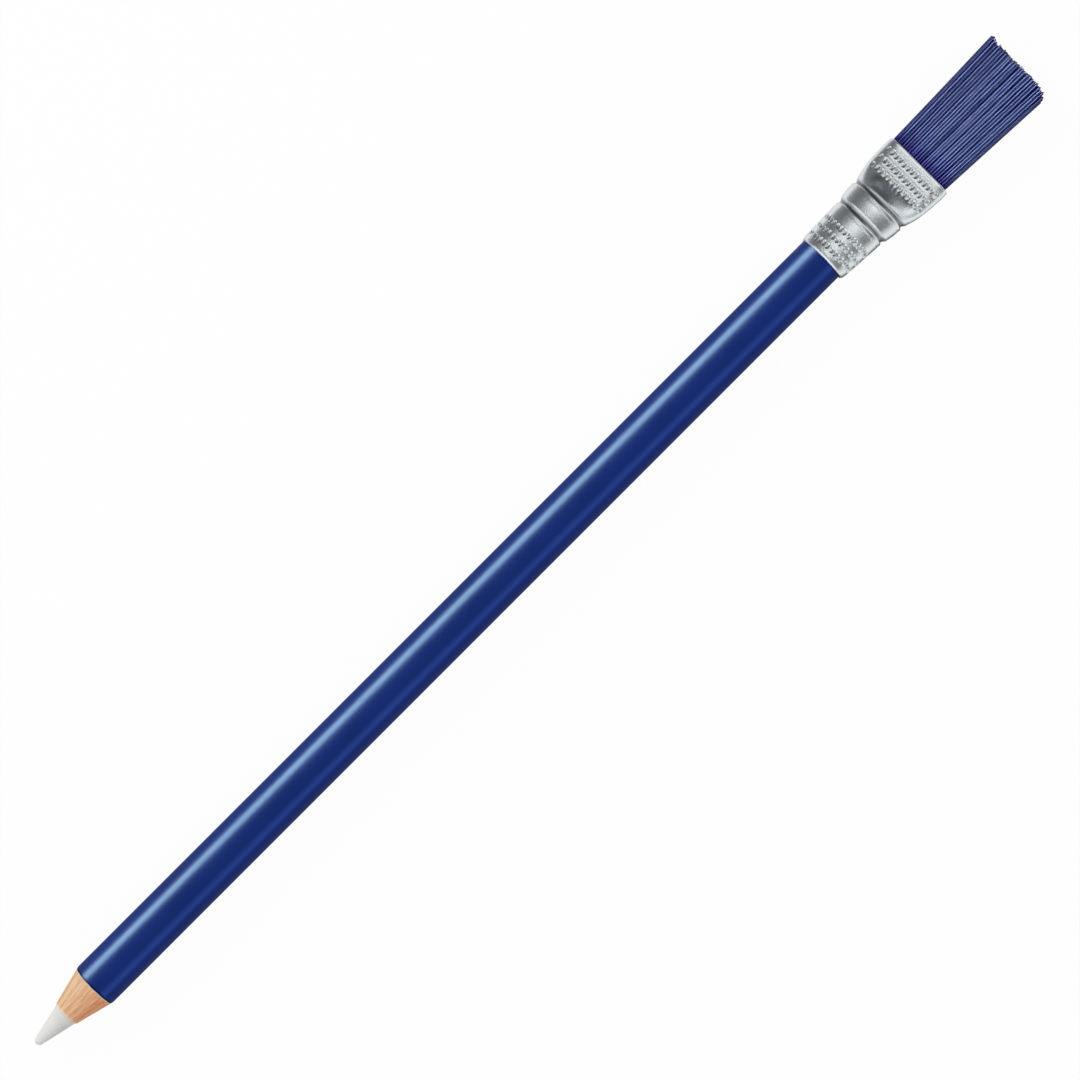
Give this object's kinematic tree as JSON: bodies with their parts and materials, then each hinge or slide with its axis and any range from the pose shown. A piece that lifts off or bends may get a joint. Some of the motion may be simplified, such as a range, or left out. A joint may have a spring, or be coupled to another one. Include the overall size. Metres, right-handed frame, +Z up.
{
  "type": "eraser pencil with brush",
  "caption": "Round wooden typewriter eraser pencil with a sharpened eraser core, a lacquered barrel and a pressed metal ferrule that holds a flat brush.",
  "frame": {"origin": "under the middle of the pencil's length, on the surface that its ferrule rests on", "axes": "+X along the pencil from the eraser point to the brush, +Y across the flat brush's width, +Z up, out of the ferrule's flat"},
  "size_m": [0.208, 0.0129, 0.0101],
  "materials": {
    "eraser": "matte white vinyl, smooth, rounded by use",
    "wood": "bare pencil wood, shaved to a cone by a sharpener",
    "glue": "set wood glue",
    "primer": "thin white undercoat",
    "lacquer": "glossy dark blue lacquer",
    "ferrule": "bright pressed sheet, with grooves and rows of stamped marks",
    "filler": "set root filler",
    "bristles": "dyed blue nylon filament, satin"
  },
  "bodies": {
    "pencil": {"eraser_core": "eraser", "upper_slat": "wood", "lower_slat": "wood", "slat_glue": "glue", "primer_coat": "primer", "lacquer_coat": "lacquer", "ferrule": "ferrule", "ferrule_glue": "glue", "root_filler": "filler"},
    "brush": {"bristle_row_1": "bristles", "bristle_row_2": "bristles", "bristle_row_3": "bristles", "bristle_row_4": "bristles", "bristle_row_5": "bristles", "bristle_row_6": "bristles", "bristle_row_7": "bristles", "bristle_row_8": "bristles", "bristle_row_9": "bristles", "bristle_row_10": "bristles", "bristle_row_11": "bristles"}
  },
  "joints": [
    {"name": "brush_flex", "type": "hinge", "parent": "pencil", "child": "brush", "pos_m": [0.08231, 0, 0.00503], "axis": [0, 1, 0], "range_deg": [-20, 20], "stiffness_Nm_per_rad": 0.05}
  ]
}
